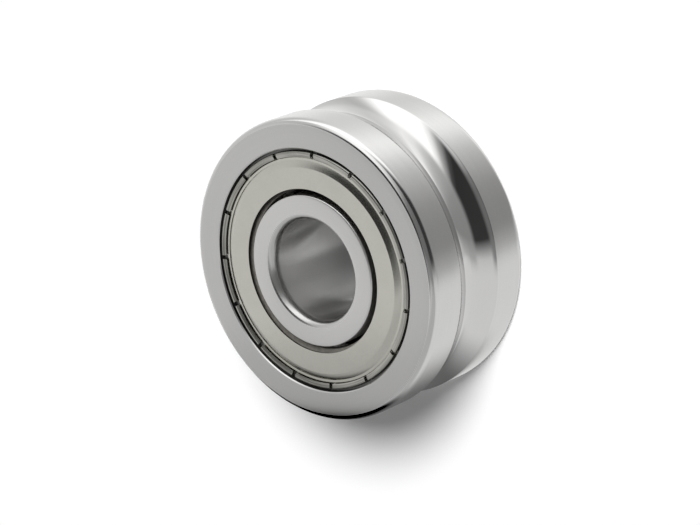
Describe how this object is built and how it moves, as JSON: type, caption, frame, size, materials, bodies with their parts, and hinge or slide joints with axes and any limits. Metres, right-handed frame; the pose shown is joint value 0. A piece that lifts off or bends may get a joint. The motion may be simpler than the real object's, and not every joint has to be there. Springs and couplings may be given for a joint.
{
  "type": "track roller bearing",
  "caption": "Shielded double-row track roller with a gothic-arch groove in its rim for a round guide shaft and a plain through bore.",
  "frame": {"origin": "centre of the lower end face, on the bore axis", "axes": "+Z along the bore axis, up through the upper end face; +X and +Y are square to it"},
  "size_m": [0.024, 0.024, 0.011],
  "materials": {
    "ring_steel": "ground bearing steel, polished in the groove",
    "shield_sheet": "satin plated sheet",
    "cage_plastic": "moulded, matt",
    "ball_steel": "polished"
  },
  "bodies": {
    "inner_ring": {"inner_ring": "ring_steel"},
    "outer_ring": {"outer_ring": "ring_steel", "upper_shield": "shield_sheet", "lower_shield": "shield_sheet"},
    "upper_cage": {"upper_cage": "cage_plastic"},
    "lower_cage": {"lower_cage": "cage_plastic"},
    "upper_ball_1": {"upper_ball_1": "ball_steel"},
    "upper_ball_2": {"upper_ball_2": "ball_steel"},
    "upper_ball_3": {"upper_ball_3": "ball_steel"},
    "upper_ball_4": {"upper_ball_4": "ball_steel"},
    "upper_ball_5": {"upper_ball_5": "ball_steel"},
    "upper_ball_6": {"upper_ball_6": "ball_steel"},
    "upper_ball_7": {"upper_ball_7": "ball_steel"},
    "lower_ball_1": {"lower_ball_1": "ball_steel"},
    "lower_ball_2": {"lower_ball_2": "ball_steel"},
    "lower_ball_3": {"lower_ball_3": "ball_steel"},
    "lower_ball_4": {"lower_ball_4": "ball_steel"},
    "lower_ball_5": {"lower_ball_5": "ball_steel"},
    "lower_ball_6": {"lower_ball_6": "ball_steel"},
    "lower_ball_7": {"lower_ball_7": "ball_steel"}
  },
  "joints": [
    {"name": "outer_ring_spin", "type": "hinge", "parent": "inner_ring", "child": "outer_ring", "pos_m": [0, 0, 0.0055], "axis": [0, 0, 1], "continuous": true},
    {"name": "upper_cage_spin", "type": "hinge", "parent": "inner_ring", "child": "upper_cage", "pos_m": [0, 0, 0.0078], "axis": [0, 0, 1], "continuous": true},
    {"name": "lower_cage_spin", "type": "hinge", "parent": "inner_ring", "child": "lower_cage", "pos_m": [0, 0, 0.0032], "axis": [0, 0, 1], "continuous": true},
    {"name": "upper_ball_1_roll", "type": "hinge", "parent": "upper_cage", "child": "upper_ball_1", "pos_m": [0.00717, 0.00127, 0.0078], "axis": [0.4924, 0.0868, 0.866], "continuous": true},
    {"name": "upper_ball_2_roll", "type": "hinge", "parent": "upper_cage", "child": "upper_ball_2", "pos_m": [0.00348, 0.0064, 0.0078], "axis": [0.2391, 0.4391, 0.866], "continuous": true},
    {"name": "upper_ball_3_roll", "type": "hinge", "parent": "upper_cage", "child": "upper_ball_3", "pos_m": [-0.00283, 0.00671, 0.0078], "axis": [-0.1942, 0.4607, 0.866], "continuous": true},
    {"name": "upper_ball_4_roll", "type": "hinge", "parent": "upper_cage", "child": "upper_ball_4", "pos_m": [-0.00701, 0.00197, 0.0078], "axis": [-0.4813, 0.1354, 0.866], "continuous": true},
    {"name": "upper_ball_5_roll", "type": "hinge", "parent": "upper_cage", "child": "upper_ball_5", "pos_m": [-0.00591, -0.00425, 0.0078], "axis": [-0.406, -0.2919, 0.866], "continuous": true},
    {"name": "upper_ball_6_roll", "type": "hinge", "parent": "upper_cage", "child": "upper_ball_6", "pos_m": [-0.00036, -0.00728, 0.0078], "axis": [-0.0249, -0.4994, 0.866], "continuous": true},
    {"name": "upper_ball_7_roll", "type": "hinge", "parent": "upper_cage", "child": "upper_ball_7", "pos_m": [0.00546, -0.00482, 0.0078], "axis": [0.3749, -0.3308, 0.866], "continuous": true},
    {"name": "lower_ball_1_roll", "type": "hinge", "parent": "lower_cage", "child": "lower_ball_1", "pos_m": [0.00591, 0.00425, 0.0032], "axis": [-0.406, -0.2919, 0.866], "continuous": true},
    {"name": "lower_ball_2_roll", "type": "hinge", "parent": "lower_cage", "child": "lower_ball_2", "pos_m": [0.00036, 0.00728, 0.0032], "axis": [-0.0249, -0.4994, 0.866], "continuous": true},
    {"name": "lower_ball_3_roll", "type": "hinge", "parent": "lower_cage", "child": "lower_ball_3", "pos_m": [-0.00546, 0.00482, 0.0032], "axis": [0.3749, -0.3308, 0.866], "continuous": true},
    {"name": "lower_ball_4_roll", "type": "hinge", "parent": "lower_cage", "child": "lower_ball_4", "pos_m": [-0.00717, -0.00127, 0.0032], "axis": [0.4924, 0.0868, 0.866], "continuous": true},
    {"name": "lower_ball_5_roll", "type": "hinge", "parent": "lower_cage", "child": "lower_ball_5", "pos_m": [-0.00348, -0.0064, 0.0032], "axis": [0.2391, 0.4391, 0.866], "continuous": true},
    {"name": "lower_ball_6_roll", "type": "hinge", "parent": "lower_cage", "child": "lower_ball_6", "pos_m": [0.00283, -0.00671, 0.0032], "axis": [-0.1942, 0.4607, 0.866], "continuous": true},
    {"name": "lower_ball_7_roll", "type": "hinge", "parent": "lower_cage", "child": "lower_ball_7", "pos_m": [0.00701, -0.00197, 0.0032], "axis": [-0.4813, 0.1354, 0.866], "continuous": true}
  ],
  "couplings": [
    {"joint": "upper_cage_spin", "follows": "outer_ring_spin", "ratio": 0.61796},
    {"joint": "lower_cage_spin", "follows": "outer_ring_spin", "ratio": 0.61796},
    {"joint": "upper_ball_1_roll", "follows": "outer_ring_spin", "ratio": 1.7333},
    {"joint": "upper_ball_2_roll", "follows": "outer_ring_spin", "ratio": 1.7333},
    {"joint": "upper_ball_3_roll", "follows": "outer_ring_spin", "ratio": 1.7333},
    {"joint": "upper_ball_4_roll", "follows": "outer_ring_spin", "ratio": 1.7333},
    {"joint": "upper_ball_5_roll", "follows": "outer_ring_spin", "ratio": 1.7333},
    {"joint": "upper_ball_6_roll", "follows": "outer_ring_spin", "ratio": 1.7333},
    {"joint": "upper_ball_7_roll", "follows": "outer_ring_spin", "ratio": 1.7333},
    {"joint": "lower_ball_1_roll", "follows": "outer_ring_spin", "ratio": 1.7333},
    {"joint": "lower_ball_2_roll", "follows": "outer_ring_spin", "ratio": 1.7333},
    {"joint": "lower_ball_3_roll", "follows": "outer_ring_spin", "ratio": 1.7333},
    {"joint": "lower_ball_4_roll", "follows": "outer_ring_spin", "ratio": 1.7333},
    {"joint": "lower_ball_5_roll", "follows": "outer_ring_spin", "ratio": 1.7333},
    {"joint": "lower_ball_6_roll", "follows": "outer_ring_spin", "ratio": 1.7333},
    {"joint": "lower_ball_7_roll", "follows": "outer_ring_spin", "ratio": 1.7333}
  ]
}
